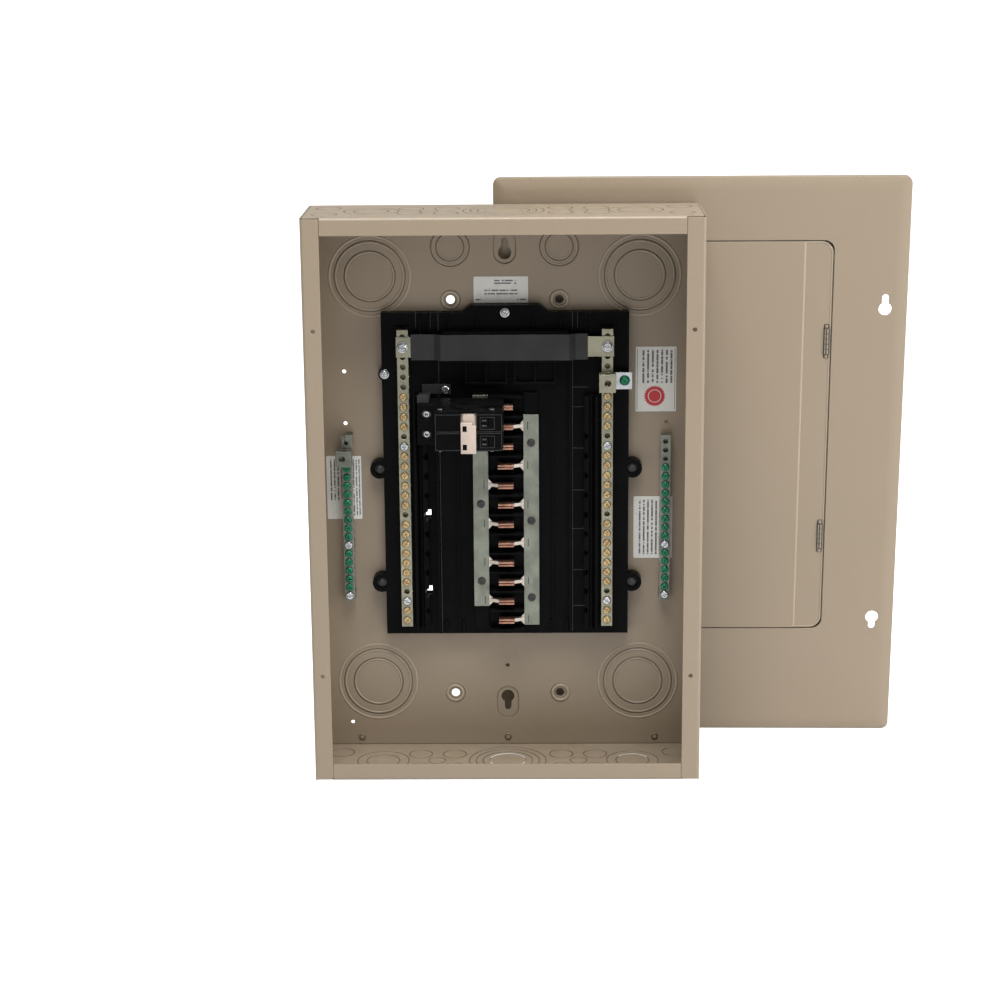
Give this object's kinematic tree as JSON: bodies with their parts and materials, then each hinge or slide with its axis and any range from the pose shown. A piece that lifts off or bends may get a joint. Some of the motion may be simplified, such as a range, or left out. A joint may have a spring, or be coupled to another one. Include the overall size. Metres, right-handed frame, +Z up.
{
  "type": "residential load center",
  "caption": "Steel distribution box with plug-on bus interior, neutral and ground bars, tied main breaker and a separate flush cover with a hinged door.",
  "frame": {"origin": "middle of the enclosure's underside, where it stands", "axes": "+X to the right seen from the open front, +Y from the open front to the back wall, +Z up"},
  "size_m": [0.5618, 0.1585, 0.5573],
  "materials": {
    "tan_paint": "satin baked enamel",
    "black_plastic": "moulded, slightly glossy",
    "tin_plate": "tin plated",
    "copper": "bare copper alloy",
    "brass_plate": "yellow chromate plate",
    "zinc_plate": "bright zinc",
    "black_oxide": "black oxide",
    "green_steel": "green dyed plate",
    "sleeve_grey": "matt",
    "handle_beige": "moulded",
    "latch_brown": "moulded",
    "label_paper": "printed film"
  },
  "bodies": {
    "enclosure": {"box_wrap": "tan_paint", "top_end_wall": "tan_paint", "bottom_end_wall": "tan_paint", "base_pan": "black_plastic", "pan_screws": "zinc_plate", "stab_guide": "black_plastic", "left_bus_bar": "tin_plate", "right_bus_bar": "tin_plate", "left_stabs": "copper", "right_stabs": "copper", "bus_screws": "black_oxide", "left_neutral_bar": "tin_plate", "right_neutral_bar": "tin_plate", "left_neutral_screws": "brass_plate", "right_neutral_screws": "brass_plate", "neutral_mount_screws": "zinc_plate", "neutral_strap": "tin_plate", "strap_sleeve": "sleeve_grey", "strap_screws": "zinc_plate", "neutral_lug": "tin_plate", "bonding_strap": "zinc_plate", "bonding_screw": "green_steel", "left_ground_bar": "tin_plate", "right_ground_bar": "tin_plate", "left_ground_screws": "green_steel", "right_ground_screws": "green_steel", "ground_bar_screws": "zinc_plate", "ground_lug": "tin_plate", "hold_down_clip": "sleeve_grey", "hold_down_screw": "zinc_plate", "rating_label": "label_paper", "warning_label": "label_paper", "left_wiring_label": "label_paper", "right_wiring_label": "label_paper"},
    "breaker": {"breaker_pole_a": "black_plastic", "breaker_pole_b": "black_plastic", "breaker_rivets": "zinc_plate", "line_lugs": "tin_plate", "line_lug_screws": "zinc_plate", "breaker_jaws": "copper", "fixed_contacts": "brass_plate", "arc_chutes": "zinc_plate", "trip_strips": "brass_plate"},
    "handle": {"breaker_handle": "handle_beige"},
    "contacts": {"contact_arms": "copper"},
    "cover": {"trim_plate": "tan_paint", "deadfront": "tan_paint", "deadfront_screws": "zinc_plate", "filler_plates": "tan_paint", "hinge_pins": "zinc_plate"},
    "door": {"door": "tan_paint"},
    "latch": {"door_latch": "latch_brown"}
  },
  "joints": [
    {"name": "cover_slide", "type": "slide", "parent": "enclosure", "child": "cover", "axis": [0, 1, 0], "range_m": [0, 0.5]},
    {"name": "door_hinge", "type": "hinge", "parent": "cover", "child": "door", "pos_m": [0.30469, 0.08324, 0.10967], "axis": [-0.001, -0.075, 0.9972], "range_deg": [0, 111]},
    {"name": "latch_slide", "type": "slide", "parent": "door", "child": "latch", "axis": [-0.9999, 0.014, 0], "range_m": [0, 0.005]},
    {"name": "breaker_rock", "type": "hinge", "parent": "enclosure", "child": "breaker", "pos_m": [-0.081, 0.025, 0.33648], "axis": [0, 0, -1], "range_deg": [0, 25]},
    {"name": "handle_throw", "type": "hinge", "parent": "breaker", "child": "handle", "pos_m": [-0.0329, -0.0322, 0.33648], "axis": [0, 0, 1], "range_deg": [-18, 18]},
    {"name": "contact_swing", "type": "hinge", "parent": "breaker", "child": "contacts", "pos_m": [-0.0319, -0.0182, 0.33648], "axis": [0, 0, 1], "range_deg": [-12, 12]}
  ],
  "couplings": [
    {"joint": "door_hinge", "follows": "cover_slide", "rad_per_m": 3.85},
    {"joint": "contact_swing", "follows": "handle_throw", "ratio": -0.4}
  ]
}
